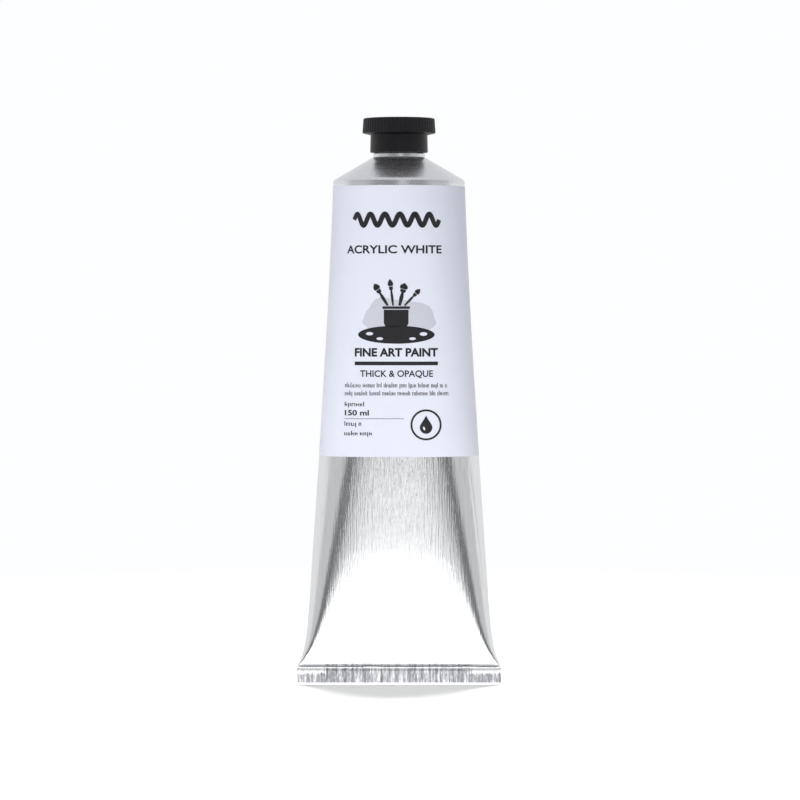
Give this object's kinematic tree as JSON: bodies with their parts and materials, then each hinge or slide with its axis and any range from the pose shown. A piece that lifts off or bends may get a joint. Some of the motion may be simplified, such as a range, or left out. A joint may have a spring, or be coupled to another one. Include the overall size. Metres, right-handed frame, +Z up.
{
  "type": "paint tube",
  "caption": "Aluminium artist's paint tube with a folded flat end, conical shoulder, wrap-around label and a black ribbed screw cap that unscrews from a threaded neck.",
  "frame": {"origin": "bottom centre of the folded end, on the surface that the tube stands on", "axes": "+Z up the tube from the folded end to the cap, -Y out of the printed front, +X to the right of someone reading the label"},
  "size_m": [0.0626, 0.0402, 0.1731],
  "materials": {
    "tube_metal": "satin, faint drawn streaks along the tube",
    "seal_compound": "matt",
    "label_paper": "smooth coated paper with black print",
    "white_paint": "wet gloss",
    "cap_plastic": "satin moulded",
    "liner_plastic": "soft matt"
  },
  "bodies": {
    "tube": {"tube_shell": "tube_metal", "end_seal": "seal_compound", "label": "label_paper", "paint_fill": "white_paint"},
    "liner": {"cap_liner": "liner_plastic"},
    "cap": {"cap": "cap_plastic"}
  },
  "joints": [
    {"name": "cap_lift", "type": "slide", "parent": "tube", "child": "liner", "axis": [0, 0, 1], "range_m": [0, 0.01]},
    {"name": "cap_turn", "type": "hinge", "parent": "liner", "child": "cap", "pos_m": [0, 0, 0.168], "axis": [0, 0, 1], "range_deg": [0, 1800]}
  ],
  "couplings": [
    {"joint": "cap_lift", "follows": "cap_turn", "m_per_rad": 0.00031831}
  ]
}
